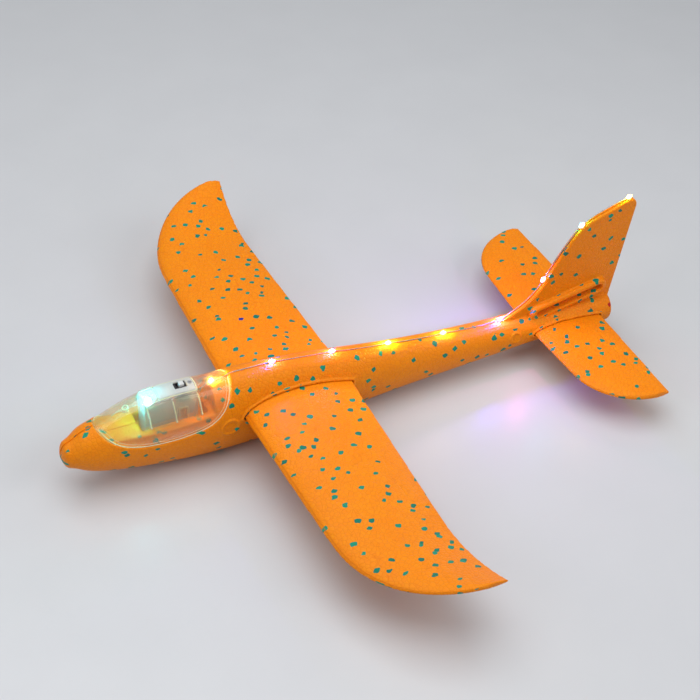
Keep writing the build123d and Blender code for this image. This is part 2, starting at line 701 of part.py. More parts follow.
with BuildPart() as battery_door_screw:
    with BuildSketch(Plane.XY.offset(screw_seat)):
        with Locations((SCREW_X, 0)):
            Circle(SCREW_HEAD[0])
    extrude(amount=SCREW_HEAD[1])
    with BuildSketch(Plane.XY.offset(screw_seat)):
        with Locations((SCREW_X, 0)):
            Circle(SCREW_SHANK[0])
    extrude(amount=-SCREW_SHANK[1])
    with BuildSketch(Plane.XY.offset(screw_seat + SCREW_HEAD[1])):
        with Locations((SCREW_X, 0)):
            Rectangle(SCREW_SLOT[0], SCREW_SLOT[1])
            Rectangle(SCREW_SLOT[1], SCREW_SLOT[0])
    extrude(amount=-SCREW_SLOT[2], mode=Mode.SUBTRACT)

with BuildPart() as lamp_lens:
    add(shell_between(DECK_TOP, DECK_UNDER, grown(LAMP_ENDS, -LENS_FIT), LAMP_HALF_WIDTH - LENS_FIT,
                      LAMP_CORNER - LENS_FIT))


# ---------------------------------------------------------------- electrics
with BuildPart() as button_cells:
    cell_floor = PIT_FLOOR_Z + BOX_WALL + SPRING_SPACE
    for index in range(CELL_COUNT):
        with BuildSketch(Plane.XY.offset(cell_floor + index * CELL_HEIGHT)):
            with Locations((CELL_X, 0)):
                Circle(CELL_RADIUS)
        extrude(amount=CELL_HEIGHT - CELL_STEP)
        with BuildSketch(Plane.XY.offset(cell_floor + (index + 1) * CELL_HEIGHT - CELL_STEP)):
            with Locations((CELL_X, 0)):
                Circle(CELL_RADIUS - CELL_STEP)
        extrude(amount=CELL_STEP - CELL_AIR)

with BuildPart() as cell_spring:
    with BuildSketch(Plane.XZ):
        with BuildLine() as strip:
            FilletPolyline((CELL_X - 5.5, PIT_FLOOR_Z + BOX_WALL + 0.2),
                           (CELL_X + 5.0, PIT_FLOOR_Z + BOX_WALL + 0.2),
                           (CELL_X - 4.5, cell_floor - 0.25), (CELL_X + 4.0, cell_floor - 0.25),
                           radius=[SPRING_BEND, SPRING_BEND])
        trace(strip.line, line_width=CONTACT_THICKNESS)
    extrude(amount=SPRING_HALF_WIDTH, both=True)

with BuildPart() as cell_contact:
    contact_z = cell_floor + CELL_COUNT * CELL_HEIGHT + 0.15
    with BuildSketch(Plane.XY.offset(contact_z)):
        with Locations((CELL_X, 0)):
            Rectangle(*CONTACT_PLATE)
    extrude(amount=CONTACT_THICKNESS)
    with BuildSketch(Plane.XY.offset(contact_z)):
        tab_y = CONTACT_PLATE[1] / 2 - CONTACT_THICKNESS
        with Locations((CELL_X, tab_y), (CELL_X, -tab_y)):
            Rectangle(CONTACT_TAB, CONTACT_THICKNESS)
    extrude(amount=TALL)
    add(hull(DOOR_INSET + DOOR_THICKNESS), mode=Mode.INTERSECT)

with BuildPart() as circuit_board:
    with BuildSketch(Plane.XY.offset(BOARD_TOP_Z - BOARD_THICKNESS)):
        with Locations(((BOARD_ENDS[0] + BOARD_ENDS[1]) / 2, 0)):
            Rectangle(BOARD_ENDS[1] - BOARD_ENDS[0], 2 * (BOX_HALF_WIDTH - BOX_WALL))
    extrude(amount=BOARD_THICKNESS)

with BuildPart() as flasher_chip:
    with BuildSketch(Plane.XY.offset(BOARD_TOP_Z - BOARD_THICKNESS)):
        with Locations((SWITCH_X, 0)):
            Circle(CHIP_DROP[0])
    extrude(amount=-CHIP_DROP[1])
    fillet(flasher_chip.faces().sort_by(Axis.Z)[0].edges(), radius=CHIP_DROP[2])

with BuildPart() as resistors:
    with BuildSketch(Plane.XY.offset(BOARD_TOP_Z - BOARD_THICKNESS)):
        with Locations((SWITCH_X, RESISTOR_Y), (SWITCH_X, -RESISTOR_Y)):
            Rectangle(RESISTOR[0], RESISTOR[1])
    extrude(amount=-RESISTOR[2])

with BuildPart() as switch_body:
    with BuildSketch(Plane.XY.offset(BOARD_TOP_Z)):
        with Locations((SWITCH_X, 0)):
            RectangleRounded(SWITCH_SIZE[0], SWITCH_SIZE[1], 0.4)
    extrude(amount=SWITCH_TOP_Z - BOARD_TOP_Z)
    with BuildSketch(Plane.XY.offset(SWITCH_TOP_Z)):
        with Locations((SWITCH_X, 0)):
            Rectangle(KNOB_SIZE[0] + KNOB_TRAVEL + 2 * RUNNING, KNOB_SIZE[1] + 2 * RUNNING)
    extrude(amount=KNOB_FLOOR_Z - RUNNING - SWITCH_TOP_Z, mode=Mode.SUBTRACT)

with BuildPart() as switch_knob:
    with BuildSketch(Plane.XY.offset(KNOB_FLOOR_Z)):
        with Locations((SWITCH_X - KNOB_TRAVEL / 2, 0)):
            RectangleRounded(KNOB_SIZE[0], KNOB_SIZE[1], 0.3)
    extrude(amount=KNOB_TOP_Z - KNOB_FLOOR_Z)
    with BuildSketch(Plane.XY.offset(KNOB_TOP_Z)):
        with Locations((SWITCH_X - KNOB_TRAVEL / 2, 0)):
            with GridLocations(KNOB_GRIP[1], 1, KNOB_GRIP[0], 1):
                Rectangle(KNOB_GRIP[2], KNOB_SIZE[1] + 1)
    extrude(amount=-KNOB_GRIP[3], mode=Mode.SUBTRACT)

with BuildPart() as lamp_led:
    collar_x = LAMP_CENTRE_X + LED_RADIUS + LED_COLLAR[0]
    collar_z = LED_FLOOR_Z + LED_COLLAR[1]
    side_x = LAMP_CENTRE_X + LED_RADIUS
    dome_z = LED_FLOOR_Z + LED_BARREL
    with BuildSketch(Plane.XZ):
        with BuildLine():
            Polyline((LAMP_CENTRE_X, LED_FLOOR_Z), (collar_x, LED_FLOOR_Z), (collar_x, collar_z),
                     (side_x, collar_z), (side_x, dome_z))
            RadiusArc((side_x, dome_z), (LAMP_CENTRE_X, dome_z + LED_RADIUS), -LED_RADIUS)
            Line((LAMP_CENTRE_X, dome_z + LED_RADIUS), (LAMP_CENTRE_X, LED_FLOOR_Z))
        make_face()
    revolve(axis=Axis((LAMP_CENTRE_X, 0, 0), (0, 0, 1)))

with BuildPart() as lamp_carrier:
    with BuildSketch(Plane.XY.offset(LED_FLOOR_Z - CARRIER[1])):
        with Locations((LAMP_CENTRE_X, 0)):
            Rectangle(CARRIER[0], 2 * (BOX_HALF_WIDTH - BOX_WALL) - LENS_FIT)
    extrude(amount=CARRIER[1])


# ---------------------------------------------------------------- string of lights
with BuildPart() as led_wire:
    for index in range(len(BEADS)):
        add(wire_run(index))

beads = {}
for index in range(len(BEADS)):
    beads["led_bead_" + str(index + 1)] = bead_shape(index)


# ---------------------------------------------------------------- files
pieces = {
    "fuselage_left": fuselage_left.part,
    "fuselage_right": fuselage_right.part,
    "main_wing": main_wing.part,
    "tailplane": tailplane.part,
    "canopy": canopy.part,
    "light_box": light_box.part,
    "battery_door": battery_door.part,
    "battery_door_screw": battery_door_screw.part,
    "lamp_lens": lamp_lens.part,
    "lamp_led": lamp_led.part,
    "lamp_carrier": lamp_carrier.part,
    "circuit_board": circuit_board.part,
    "flasher_chip": flasher_chip.part,
    "resistors": resistors.part,
    "switch_body": switch_body.part,
    "switch_knob": switch_knob.part,
    "button_cells": button_cells.part,
    "cell_spring": cell_spring.part,
    "cell_contact": cell_contact.part,
    "led_wire": led_wire.part,
}
pieces.update(beads)
for name, piece in pieces.items():
    piece.label = name
    export_step(piece, "parts/" + name + ".step")
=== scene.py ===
"""A foam hand-launch glider with a lit cockpit and a string of lights, dressed around its CAD frame.

Metres, in the CAD's frame: nose to +X, port wing to +Y, +Z up, standing on the ground at z = 0.
"""
import json
import math

import bmesh
import bpy
import numpy as np
from mathutils import Matrix, Vector
from mathutils.bvhtree import BVHTree


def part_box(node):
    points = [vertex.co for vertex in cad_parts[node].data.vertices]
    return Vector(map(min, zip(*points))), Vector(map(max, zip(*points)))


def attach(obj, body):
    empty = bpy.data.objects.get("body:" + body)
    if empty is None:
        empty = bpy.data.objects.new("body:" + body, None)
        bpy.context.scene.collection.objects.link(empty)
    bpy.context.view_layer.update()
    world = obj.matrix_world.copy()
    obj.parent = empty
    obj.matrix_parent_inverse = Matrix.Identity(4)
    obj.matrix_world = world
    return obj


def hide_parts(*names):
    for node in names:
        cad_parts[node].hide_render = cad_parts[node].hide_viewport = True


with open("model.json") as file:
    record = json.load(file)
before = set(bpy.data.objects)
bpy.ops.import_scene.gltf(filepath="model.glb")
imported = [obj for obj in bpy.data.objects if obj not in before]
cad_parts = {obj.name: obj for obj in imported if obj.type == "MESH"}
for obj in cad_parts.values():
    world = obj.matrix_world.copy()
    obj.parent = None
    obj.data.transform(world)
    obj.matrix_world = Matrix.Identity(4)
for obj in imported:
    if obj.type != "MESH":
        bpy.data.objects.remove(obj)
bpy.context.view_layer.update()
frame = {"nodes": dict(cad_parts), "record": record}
MM = 0.001
BODIES = frame["record"]["behaviour"]["bodies"]
BODY_OF = {node: body for body, nodes in BODIES.items() for node in nodes}

# ---------------------------------------------------------------- camera
CAMERA_AZIMUTH = 150.57      # degrees, 0 looks along +Y
CAMERA_ELEVATION = 41.664
CAMERA_ROLL = 4.249
CAMERA_DISTANCE = 1.1833
CAMERA_AIM = Vector((-0.0076, -0.0299, 0.0260))
CAMERA_LENS = 76.73          # on a 36 mm sensor

# ---------------------------------------------------------------- light string, in millimetres
BEADS = [(123.5, 66.2, 2), (74.8, 68.2, 7), (24.8, 60.9, 10), (-24.0, 52.3, 8), (-73.6, 45.7, 6),
         (-126.5, 42.2, -8), (-162.3, 71.8, -62), (-190.6, 117.8, -42), (-232.2, 133.7, -18)]
RUNS = [
    [(137.3, 55.0), (134.0, 56.6), (132.4, 62.0)],
    [(116.0, 65.8), (110.2, 69.3), (100.0, 69.0), (90.0, 68.5)],
    [(68.0, 66.5), (50.0, 64.1), (36.0, 61.9)],
    [(18.0, 58.7), (0.0, 55.4), (-12.0, 53.3)],
    [(-32.0, 50.1), (-50.0, 47.6), (-64.0, 45.8)],
    [(-82.0, 43.9), (-100.0, 42.2), (-117.0, 41.0)],
    [(-134.0, 44.9), (-145.0, 51.2), (-156.4, 61.2)],
    [(-168.2, 83.6), (-175.6, 96.4), (-183.0, 107.9)],
    [(-200.0, 123.9), (-212.0, 128.3), (-222.0, 131.4)],
]
BEAD_HALF_LENGTH = 2.6
STRAND_RADIUS = 0.2          # two enamelled strands twisted inside the tube that CAD holds for them
TWIST_PITCH = 4.2
TWIST_STEPS = 10             # points in each turn of the twist

# Each light's colour in the core and round it, and how strongly it lights the foam beside it.
WARM = ((1.0, 0.86, 0.45), (1.0, 0.62, 0.12))
BLUE = ((0.62, 0.5, 1.0), (0.16, 0.07, 1.0))
PINK = ((1.0, 0.6, 0.9), (1.0, 0.12, 0.5))
LIME = ((0.95, 1.0, 0.6), (0.55, 1.0, 0.12))
YELLOW = ((1.0, 0.93, 0.5), (1.0, 0.72, 0.08))
CYAN = ((0.7, 1.0, 1.0), (0.05, 0.75, 0.9))
LIGHT_COLOURS = [WARM, BLUE, PINK, LIME, YELLOW, BLUE, PINK, CYAN, YELLOW]


def add_camera():
    """The camera, at the angle from which the glider is first seen."""
    azimuth, elevation, roll = (math.radians(a) for a in (CAMERA_AZIMUTH, CAMERA_ELEVATION, CAMERA_ROLL))
    back = Vector((math.sin(azimuth) * math.cos(elevation), -math.cos(azimuth) * math.cos(elevation),
                   math.sin(elevation)))
    level = Vector((math.cos(azimuth), math.sin(azimuth), 0))
    right = level * math.cos(roll) + back.cross(level) * math.sin(roll)
    up = back.cross(right)
    data = bpy.data.cameras.new("camera")
    data.lens = CAMERA_LENS
    data.sensor_width = 36
    data.clip_start = 0.01
    camera = new_object("camera", data)
    basis = Matrix((right, up, back)).transposed().to_4x4()
    camera.matrix_world = Matrix.Translation(CAMERA_AIM + back * CAMERA_DISTANCE) @ basis
    bpy.context.scene.camera = camera


# ---------------------------------------------------------------- helpers for objects
SHARP_EDGE = math.radians(40)


def new_object(name, data):
    """Links a new object that holds the given data into the scene."""
    piece = bpy.data.objects.new(name, data)
    bpy.context.collection.objects.link(piece)
    return piece


def evaluated_mesh(piece):
    """The piece's mesh with its modifiers applied."""
    bpy.context.view_layer.update()
    graph = bpy.context.evaluated_depsgraph_get()
    return bpy.data.meshes.new_from_object(piece.evaluated_get(graph))


def paint(piece, material):
    """Gives the piece one material in every slot."""
    if not piece.data.materials:
        piece.data.materials.append(material)
    for slot in piece.material_slots:
        slot.material = material


def finish_node(node, material, bevel=0.0):
    """Gives a CAD node its material, and softened edges of the given width in millimetres."""
    piece = frame["nodes"][node]
    paint(piece, material)
    if bevel:
        edges = piece.modifiers.new("edges", "BEVEL")
        edges.width = bevel * MM
        edges.segments = 2
        edges.limit_method = "ANGLE"
        edges.angle_limit = SHARP_EDGE
        edges.use_clamp_overlap = True


# ---------------------------------------------------------------- helpers for materials
def new_material(name):
    """A material, its node tree and its Principled shader."""
    material = bpy.data.materials.new(name)
    material.use_nodes = True
    tree = material.node_tree
    return material, tree, tree.nodes["Principled BSDF"]


def feed(tree, socket, value):
    """Links a socket into an input, or sets the input to a number or colour."""
    if isinstance(value, bpy.types.NodeSocket):
        tree.links.new(value, socket)
    elif isinstance(value, tuple) and socket.type == "RGBA":
        socket.default_value = (*value, 1.0)
    else:
        socket.default_value = value


def add_node(tree, kind, inputs=None, **settings):
    """Adds a shader node with its settings and inputs."""
    node = tree.nodes.new(kind)
    for key, value in settings.items():
        setattr(node, key, value)
    for key, value in (inputs or {}).items():
        feed(tree, node.inputs[key], value)
    return node


def set_shader(tree, shader, **inputs):
    """Sets the Principled shader's inputs, named with _ for each space."""
    names = {name.replace(" ", "_").lower(): name for name in shader.inputs.keys()}
    for key, value in inputs.items():
        feed(tree, shader.inputs[names[key]], value)


def maths(tree, operation, first, second=0.0, clamp=False):
    """One Math node's output."""
    node = add_node(tree, "ShaderNodeMath", operation=operation, use_clamp=clamp)
    feed(tree, node.inputs[0], first)
    feed(tree, node.inputs[1], second)
    return node.outputs[0]


def vector_maths(tree, operation, first, second):
    """One Vector Math node's output."""
    node = add_node(tree, "ShaderNodeVectorMath", operation=operation)
    feed(tree, node.inputs[0], first)
    feed(tree, node.inputs[1], second)
    return node.outputs[0]


def mix(tree, factor, first, second, blend="MIX"):
    """Two colours mixed by a factor."""
    node = add_node(tree, "ShaderNodeMix", data_type="RGBA", blend_type=blend)
    sockets = {socket.identifier: socket for socket in node.inputs}
    feed(tree, sockets["Factor_Float"], factor)
    feed(tree, sockets["A_Color"], first)
    feed(tree, sockets["B_Color"], second)
    return next(socket for socket in node.outputs if socket.identifier == "Result_Color")


def remap(tree, value, low, high, new_low, new_high):
    """A value's range mapped onto another, clamped at its ends."""
    node = add_node(tree, "ShaderNodeMapRange", clamp=True)
    for name, number in (("From Min", low), ("From Max", high), ("To Min", new_low), ("To Max", new_high)):
        node.inputs[name].default_value = number
    feed(tree, node.inputs["Value"], value)
    return node.outputs["Result"]


def object_coords(tree):
    """The piece's own coordinates, in metres."""
    return add_node(tree, "ShaderNodeTexCoord").outputs["Object"]


def noise_at(tree, coords, size, detail=2.0, roughness=0.5):
    """Noise whose grain is about size millimetres."""
    node = add_node(tree, "ShaderNodeTexNoise", {"Vector": coords, "Scale": 1 / (size * MM), "Detail": detail,
                                                 "Roughness": roughness})
    return node.outputs


def cells_at(tree, coords, size, feature="F1"):
    """Cells about size millimetres across."""
    inputs = {"Vector": coords, "Scale": 1 / (size * MM)}
    return add_node(tree, "ShaderNodeTexVoronoi", inputs, feature=feature).outputs


def bump(tree, shader, height, depth, under=None):
    """Relief of the given depth in millimetres, laid over another relief."""
    node = add_node(tree, "ShaderNodeBump", {"Height": height, "Distance": depth * MM, "Strength": 1.0})
    if under is not None:
        tree.links.new(under, node.inputs["Normal"])
    tree.links.new(node.outputs["Normal"], shader.inputs["Normal"])
    return node.outputs["Normal"]


# ---------------------------------------------------------------- materials
ORANGE = (0.95, 0.285, 0.001)
DEEP_ORANGE = (0.89, 0.225, 0.001)
# Painted shade: the darker orange laid in the creases between the foam beads and in the parting line's
# groove.
CREASE_SHADE_ORANGE = (0.66, 0.13, 0.001)
TEAL = (0.003, 0.30, 0.19)
DARK_TEAL = (0.003, 0.17, 0.12)
FLAKE_SPACING = 9.0          # millimetres between the centres of the flakes that are mixed into the foam
FLAKE_RADII = (0.16, 0.245)  # smallest and largest half width of a flake, as shares of that spacing
FLAKE_SHARE = 0.38           # share of the places that hold a flake
SIDE_SHIFT = 31.0            # millimetres that set the two sides' flakes apart
FLAKE_WARP = (3.4, 2.2)      # grain and reach of the warp that makes each flake uneven
FLAKE_SQUARENESS = 3.2
FLAKE_EDGE = 0.012           # how soft a flake's edge is, as a share of the spacing
FLAKE_TURN = 0.5             # radians that turn the pattern off the glider's axes
FLAKE_STRETCH = (0.9, 1.1, 1.0)
FOAM_BEAD = 3.1              # size of the foam's expanded beads
PARTING_SLOPE = 0.70         # the mould line lies where the skin has turned this far over the leading edge
PARTING_WIDTH = 0.10
PARTING_BACK = -0.25         # and it ends where the skin faces further back than this


def skin_coords(tree, coords):
    """Two coordinates along the skin, chosen by the way it faces, so that its flakes keep their size."""
    normal = add_node(tree, "ShaderNodeTexCoord").outputs["Normal"]
    upright = vector_maths(tree, "ABSOLUTE", normal, (0, 0, 0))
    facing = add_node(tree, "ShaderNodeSeparateXYZ", {"Vector": upright}).outputs
    place = add_node(tree, "ShaderNodeSeparateXYZ", {"Vector": coords}).outputs
    side = add_node(tree, "ShaderNodeSeparateXYZ", {"Vector": normal}).outputs
    flat = maths(tree, "GREATER_THAN", facing["Z"], facing["Y"])
    turned = maths(tree, "MULTIPLY", maths(tree, "SIGN", side["Y"]), SIDE_SHIFT * MM)
    across = add_node(tree, "ShaderNodeMix", data_type="FLOAT")
    feed(tree, across.inputs[0], flat)
    feed(tree, across.inputs[2], maths(tree, "ADD", place["Z"], turned))
    feed(tree, across.inputs[3], place["Y"])
    return add_node(tree, "ShaderNodeCombineXYZ", {"X": place["X"], "Y": across.outputs[0]}).outputs["Vector"]


def flake_pattern(tree, coords):
    """Where the flakes are, and each flake's own random colour."""
    grain, reach = FLAKE_WARP
    warp = noise_at(tree, coords, grain, 0.0)["Color"]
    shift = vector_maths(tree, "SUBTRACT", warp, (0.5, 0.5, 0.5))
    shift = vector_maths(tree, "MULTIPLY", shift, (reach * MM,) * 3)
    warped = vector_maths(tree, "ADD", skin_coords(tree, coords), shift)
    askew = add_node(tree, "ShaderNodeMapping", {"Vector": warped})
    askew.inputs["Rotation"].default_value = (0.0, 0.0, FLAKE_TURN)
    askew.inputs["Scale"].default_value = FLAKE_STRETCH
    inputs = {"Vector": askew.outputs["Vector"], "Scale": 1 / (FLAKE_SPACING * MM)}
    flakes = add_node(tree, "ShaderNodeTexVoronoi", inputs, voronoi_dimensions="2D", distance="MINKOWSKI")
    flakes.inputs["Exponent"].default_value = FLAKE_SQUARENESS
    draw = add_node(tree, "ShaderNodeSeparateColor", {"Color": flakes.outputs["Color"]}).outputs
    radius = remap(tree, draw["Red"], 0.0, FLAKE_SHARE, *reversed(FLAKE_RADII))
    radius = maths(tree, "MULTIPLY", radius, maths(tree, "LESS_THAN", draw["Red"], FLAKE_SHARE))
    inside = maths(tree, "SUBTRACT", radius, flakes.outputs["Distance"])
    return remap(tree, inside, 0.0, FLAKE_EDGE, 0.0, 1.0), draw


def parting_line(tree):
    """A moulded surface's parting line, 1 on the line: it runs round the leading edge and the tips."""
    normal = add_node(tree, "ShaderNodeNewGeometry").outputs["Normal"]
    slope = add_node(tree, "ShaderNodeSeparateXYZ", {"Vector": normal}).outputs
    away = maths(tree, "ABSOLUTE", maths(tree, "SUBTRACT", slope["Z"], PARTING_SLOPE))
    line = remap(tree, away, 0.0, PARTING_WIDTH, 1.0, 0.0)
    return maths(tree, "MULTIPLY", line, maths(tree, "GREATER_THAN", slope["X"], PARTING_BACK))


def foam_material(name, parted):
    """Moulded bead foam: fused orange beads with angular teal flakes mixed in, and painted shade in the
    creases between the beads and, when parted, in the parting line's groove.
    """
    material, tree, shader = new_material(name)
    coords = object_coords(tree)
    is_flake, draw = flake_pattern(tree, coords)
    beads = cells_at(tree, coords, FOAM_BEAD)
    tone = add_node(tree, "ShaderNodeSeparateColor", {"Color": beads["Color"]}).outputs["Green"]
    patchy = noise_at(tree, coords, 28.0, 3.0)["Fac"]
    orange = mix(tree, remap(tree, tone, 0.0, 1.0, 0.0, 0.4), ORANGE, DEEP_ORANGE)
    orange = mix(tree, remap(tree, patchy, 0.35, 0.7, 0.0, 0.3), orange, DEEP_ORANGE)
    # Painted shade: the foam darkens along the creases between its beads; the same mask gives those creases
    # their relief further down.
    edge = cells_at(tree, coords, FOAM_BEAD, "DISTANCE_TO_EDGE")["Distance"]
    orange = mix(tree, remap(tree, edge, 0.0, 0.07, 0.4, 0.0), orange, CREASE_SHADE_ORANGE)
    flake = mix(tree, draw["Green"], TEAL, DARK_TEAL)
    flake = mix(tree, maths(tree, "GREATER_THAN", draw["Blue"], 0.99), flake, (0.5, 0.012, 0.01))
    flake = mix(tree, maths(tree, "LESS_THAN", draw["Blue"], 0.008), flake, (0.01, 0.03, 0.3))
    colour = mix(tree, is_flake, orange, flake)

    grain = noise_at(tree, coords, 0.55, 3.0, 0.6)["Fac"]
    pits = cells_at(tree, coords, 1.15)["Distance"]
    relief = bump(tree, shader, grain, 0.16)
    relief = bump(tree, shader, remap(tree, pits, 0.0, 0.45, 0.0, 1.0), 0.07, relief)
    relief = bump(tree, shader, remap(tree, edge, 0.0, 0.16, 0.0, 1.0), 0.16, relief)
    if parted:
        line = parting_line(tree)
        bump(tree, shader, maths(tree, "SUBTRACT", 1.0, line), 0.5, relief)
        # Painted shade in the parting line's groove, beside the groove's bump.
        colour = mix(tree, maths(tree, "MULTIPLY", line, 0.55), colour, CREASE_SHADE_ORANGE)
    set_shader(tree, shader, base_color=colour, roughness=remap(tree, grain, 0.3, 0.7, 0.34, 0.5), ior=1.42,
               specular_ior_level=0.24, sheen_weight=0.02, sheen_roughness=0.45, subsurface_weight=0.1,
               subsurface_scale=0.0015)
    shader.inputs["Subsurface Radius"].default_value = (1.0, 0.4, 0.05)
    return material


def canopy_material():
    """Thin clear plastic with a faint milky haze, and fine scuffs that spread its gloss."""
    material, tree, shader = new_material("clear_canopy")
    coords = object_coords(tree)
    cloudy = noise_at(tree, coords, 14.0, 3.0)["Fac"]
    scuffs = noise_at(tree, coords, 1.2, 4.0, 0.7)["Fac"]
    set_shader(tree, shader, base_color=mix(tree, cloudy, (0.93, 0.96, 0.70), (0.98, 0.99, 0.82)),
               roughness=remap(tree, scuffs, 0.35, 0.7, 0.04, 0.12), ior=1.46, transmission_weight=0.9,
               alpha=0.36, coat_weight=0.5, coat_roughness=0.04)
    bump(tree, shader, cloudy, 0.25)
    return material


def frosted_material(name, solidity):
    """Frosted translucent plastic with a fine matt grain; solidity is how much it hides."""
    material, tree, shader = new_material(name)
    coords = object_coords(tree)
    grain = noise_at(tree, coords, 0.35, 3.0, 0.6)["Fac"]
    cloudy = noise_at(tree, coords, 7.0, 2.0)["Fac"]
    set_shader(tree, shader, base_color=mix(tree, cloudy, (0.80, 0.83, 0.80), (0.93, 0.94, 0.90)),
               roughness=remap(tree, grain, 0.3, 0.7, 0.28, 0.46), ior=1.49, transmission_weight=0.4,
               alpha=solidity)
    bump(tree, shader, grain, 0.03)
    return material


def metal_material(name, colour, roughness, stretch):
    """Bare metal with fine brushed lines along one direction and a few duller patches."""
    material, tree, shader = new_material(name)
    coords = vector_maths(tree, "MULTIPLY", object_coords(tree), stretch)
    lines = noise_at(tree, coords, 0.25, 3.0, 0.6)["Fac"]
    dull = noise_at(tree, object_coords(tree), 3.0, 3.0)["Fac"]
    darker = tuple(0.72 * channel for channel in colour)
    set_shader(tree, shader, base_color=mix(tree, remap(tree, dull, 0.45, 0.75, 0.0, 0.6), colour, darker),
               metallic=1.0, roughness=remap(tree, lines, 0.3, 0.7, roughness * 0.7, roughness * 1.4))
    bump(tree, shader, lines, 0.012)
    return material


def moulded_material(name, colour, roughness, grain_size):
    """Moulded plastic or potting resin, with grain and a little dust."""
    material, tree, shader = new_material(name)
    coords = object_coords(tree)
    grain = noise_at(tree, coords, grain_size, 3.0, 0.6)["Fac"]
    dust = noise_at(tree, coords, 2.5, 4.0, 0.7)["Fac"]
    lighter = tuple(min(channel + 0.05, 0.95) for channel in colour)
    set_shader(tree, shader, base_color=mix(tree, remap(tree, dust, 0.5, 0.8, 0.0, 0.5), colour, lighter),
               roughness=remap(tree, grain, 0.3, 0.7, roughness * 0.75, roughness * 1.2))
    bump(tree, shader, grain, 0.02)
    return material


def board_material():
    """Green solder mask over copper tracks, which show as slightly raised paler lines."""
    material, tree, shader = new_material("board_green")
    coords = object_coords(tree)
    tracks = add_node(tree, "ShaderNodeTexWave", {"Vector": coords, "Scale": 160.0, "Distortion": 1.5,
                                                  "Detail": 1.0}, bands_direction="Y").outputs["Fac"]
    mask = remap(tree, tracks, 0.55, 0.62, 0.0, 1.0)
    weave = noise_at(tree, coords, 0.4, 2.0)["Fac"]
    set_shader(tree, shader, base_color=mix(tree, mask, (0.012, 0.14, 0.045), (0.035, 0.27, 0.10)),
               roughness=remap(tree, weave, 0.3, 0.7, 0.22, 0.38), coat_weight=0.3)
    bump(tree, shader, mask, 0.03)
    return material


def resin_material(name, colours, strength):
    """A clear resin drop that the light inside fills with colour, brightest round its middle."""
    core, halo = colours
    material, tree, shader = new_material(name)
    coords = object_coords(tree)
    swirl = noise_at(tree, coords, 1.4, 2.0)["Fac"]
    glow = mix(tree, remap(tree, swirl, 0.35, 0.65, 0.0, 1.0), halo, core)
    set_shader(tree, shader, base_color=mix(tree, 0.5, core, (1.0, 1.0, 1.0)), roughness=0.08, ior=1.5,
               transmission_weight=0.8, emission_color=glow, emission_strength=strength)
    bump(tree, shader, swirl, 0.08)
    return material


def chip_material(name, colours, strength):
    """The lit face of a light chip, its emission mottled between the light's core colour and white."""
    core = colours[0]
    material, tree, shader = new_material(name)
    fine = noise_at(tree, object_coords(tree), 0.3, 1.0)["Fac"]
    set_shader(tree, shader, base_color=(0.9, 0.9, 0.85), roughness=0.3,
               emission_color=mix(tree, fine, core, (1.0, 1.0, 1.0)), emission_strength=strength)
    return material


# ---------------------------------------------------------------- foam
def foam_piece(node, voxel, passes, material):
    """The moulded foam of one node: its CAD shape on a grid of voxels, with every edge softened."""
    piece = new_object("foam_" + node, frame["nodes"][node].data.copy())
    weld = piece.modifiers.new("weld", "WELD")
    weld.merge_threshold = 0.01 * MM
    remesh = piece.modifiers.new("remesh", "REMESH")
    remesh.mode = "VOXEL"
    remesh.voxel_size = voxel * MM
    remesh.use_smooth_shade = True
    soften = piece.modifiers.new("soften", "SMOOTH")
    soften.factor = 0.5
    soften.iterations = passes
    mesh = evaluated_mesh(piece)
    piece.modifiers.clear()
    piece.data = mesh
    mesh.materials.clear()
    paint(piece, material)
    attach(piece, BODY_OF[node])
    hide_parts(node)
    return piece


# ---------------------------------------------------------------- light string
def bead_point(index, side=0):
    """A bead's middle, or the end of it on the nose side (1) or the tail side (-1)."""
    x, z, slope = BEADS[index]
    reach = side * BEAD_HALF_LENGTH
    turn = math.radians(slope)
    return Vector((x + reach * math.cos(turn), 0, z + reach * math.sin(turn))) * MM


def run_line(index):
    """Points along one run of wire, from its smooth curve."""
    route = [Vector((x, 0, z)) * MM for x, z in RUNS[index]] + [bead_point(index, 1)]
    if index:
        route.insert(0, bead_point(index - 1, -1))
    curve = bpy.data.curves.new("route", "CURVE")
    curve.dimensions = "3D"
    spline = curve.splines.new("NURBS")
    spline.points.add(len(route) - 1)
    for point, place in zip(spline.points, route):
        point.co = (*place, 1.0)
    spline.order_u = 3
    spline.use_endpoint_u = True
    spline.resolution_u = 24
    holder = new_object("route", curve)
    mesh = evaluated_mesh(holder)
    line = np.array([vertex.co for vertex in mesh.vertices])
    bpy.data.objects.remove(holder)
    bpy.data.meshes.remove(mesh)
    return line


def twisted_strand(line, phase):
    """One strand's points, wound round a line in the upright plane."""
    steps = np.linalg.norm(np.diff(line, axis=0), axis=1)
    along = np.concatenate(([0.0], np.cumsum(steps)))
    places = np.arange(0.0, along[-1], TWIST_PITCH * MM / TWIST_STEPS)
    middle = np.stack([np.interp(places, along, line[:, axis]) for axis in range(3)], axis=1)
    tangent = np.gradient(middle, axis=0)
    tangent /= np.linalg.norm(tangent, axis=1)[:, None]
    side = np.array((0.0, 1.0, 0.0))
    normal = np.cross(tangent, side)
    turn = 2 * math.pi * places / (TWIST_PITCH * MM) + phase
    return middle + STRAND_RADIUS * MM * (np.cos(turn)[:, None] * side + np.sin(turn)[:, None] * normal)


def add_wire(material):
    """The pair of twisted strands that joins the lights."""
    curve = bpy.data.curves.new("light_wire", "CURVE")
    curve.dimensions = "3D"
    curve.bevel_depth = STRAND_RADIUS * MM
    curve.bevel_resolution = 1
    curve.use_fill_caps = True
    for index in range(len(RUNS)):
        line = run_line(index)
        for phase in (0.0, math.pi):
            points = twisted_strand(line, phase)
            spline = curve.splines.new("POLY")
            spline.points.add(len(points) - 1)
            spline.points.foreach_set("co", np.hstack((points, np.ones((len(points), 1)))).ravel())
    wire = new_object("light_wire", curve)
    paint(wire, material)
    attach(wire, "airframe")
    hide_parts("led_wire")


